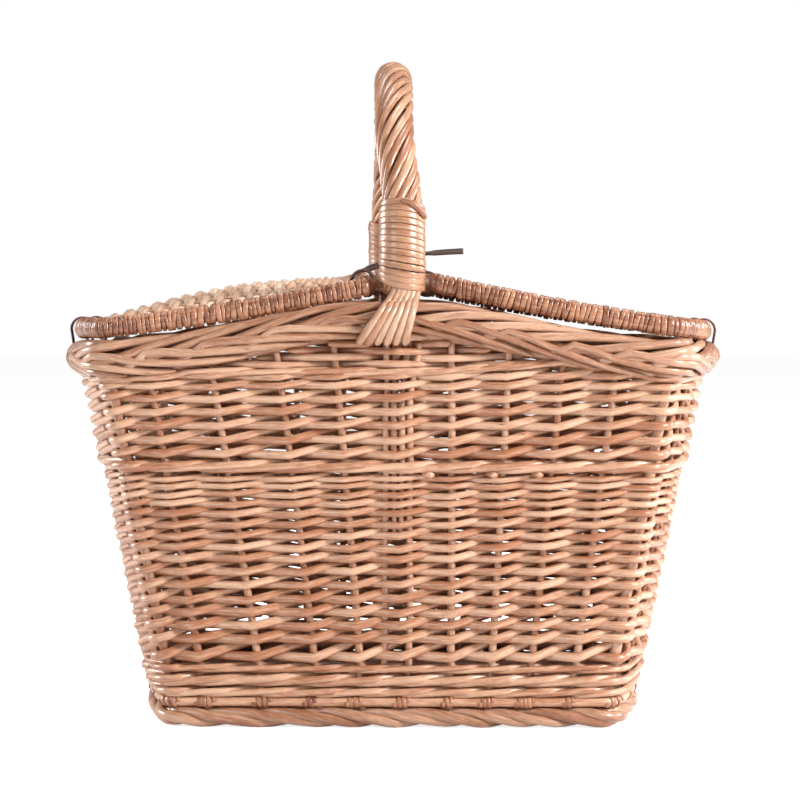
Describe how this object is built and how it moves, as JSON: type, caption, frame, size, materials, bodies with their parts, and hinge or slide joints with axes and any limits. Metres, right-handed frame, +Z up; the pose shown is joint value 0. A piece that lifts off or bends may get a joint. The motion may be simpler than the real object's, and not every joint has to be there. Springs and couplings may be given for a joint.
{
  "type": "wicker picnic basket",
  "caption": "Tapered rectangular wicker picnic basket with a fixed arched handle, a plaited rim and two hinged woven lids with leather straps.",
  "frame": {"origin": "on the ground, at the bottom centre of the bounding box", "axes": "+X to the right along the basket's length, from the left lid to the right lid; +Y to the back, across the basket, which is the way the handle runs; +Z up"},
  "size_m": [0.4816, 0.3584, 0.473],
  "materials": {
    "buff_willow": "semi-gloss peeled willow rod",
    "willow_skein": "semi-gloss flat willow skein, browner",
    "dark_leather": "matt dark brown strap leather",
    "buckle_steel": "satin"
  },
  "bodies": {
    "basket": {"back_handle_collar": "willow_skein", "back_handle_liner_left": "buff_willow", "back_handle_liner_right": "buff_willow", "back_left_corner_post": "buff_willow", "back_packing": "buff_willow", "back_right_corner_post": "buff_willow", "back_wrap_tails": "buff_willow", "base_hoop_and_stakes": "buff_willow", "base_mat": "buff_willow", "bottom_wale": "buff_willow", "foot_border": "buff_willow", "front_handle_collar": "willow_skein", "front_handle_liner_left": "buff_willow", "front_handle_liner_right": "buff_willow", "front_left_corner_post": "buff_willow", "front_packing": "buff_willow", "front_right_corner_post": "buff_willow", "front_wrap_tails": "buff_willow", "handle_bow": "buff_willow", "handle_wrap": "buff_willow", "left_back_hinge_loop": "dark_leather", "left_front_hinge_loop": "dark_leather", "lower_randing": "buff_willow", "middle_wale": "buff_willow", "right_back_hinge_loop": "dark_leather", "right_front_hinge_loop": "dark_leather", "top_border": "buff_willow", "top_wale": "buff_willow", "upper_randing": "buff_willow"},
    "left_lid": {"left_lid_hoop": "buff_willow", "left_lid_mat": "buff_willow", "left_lid_binding": "willow_skein"},
    "right_lid": {"right_lid_hoop": "buff_willow", "right_lid_mat": "buff_willow", "right_lid_binding": "willow_skein"},
    "buckle_strap": {"buckle_strap": "dark_leather"},
    "buckle_frame": {"buckle_frame": "buckle_steel"},
    "buckle_prong": {"buckle_prong": "buckle_steel"},
    "tongue_strap": {"tongue_strap": "dark_leather"}
  },
  "joints": [
    {"name": "left_lid_hinge", "type": "hinge", "parent": "basket", "child": "left_lid", "pos_m": [-0.22533, 0, 0.27755], "axis": [0, -1, 0], "range_deg": [0, 165]},
    {"name": "right_lid_hinge", "type": "hinge", "parent": "basket", "child": "right_lid", "pos_m": [0.22533, 0, 0.2763], "axis": [0, 1, 0], "range_deg": [0, 165]},
    {"name": "buckle_strap_swing", "type": "hinge", "parent": "left_lid", "child": "buckle_strap", "pos_m": [-0.02275, 0, 0.31161], "axis": [0, -1, 0], "range_deg": [0, 80]},
    {"name": "buckle_frame_tilt", "type": "hinge", "parent": "buckle_strap", "child": "buckle_frame", "pos_m": [0, 0, 0.32411], "axis": [0, -1, 0], "range_deg": [-45, 35]},
    {"name": "buckle_prong_tilt", "type": "hinge", "parent": "buckle_frame", "child": "buckle_prong", "pos_m": [0, 0, 0.32411], "axis": [0, -1, 0], "range_deg": [0, 35]},
    {"name": "tongue_strap_swing", "type": "hinge", "parent": "right_lid", "child": "tongue_strap", "pos_m": [0.02465, 0, 0.31008], "axis": [0, 1, 0], "range_deg": [0, 35]}
  ]
}
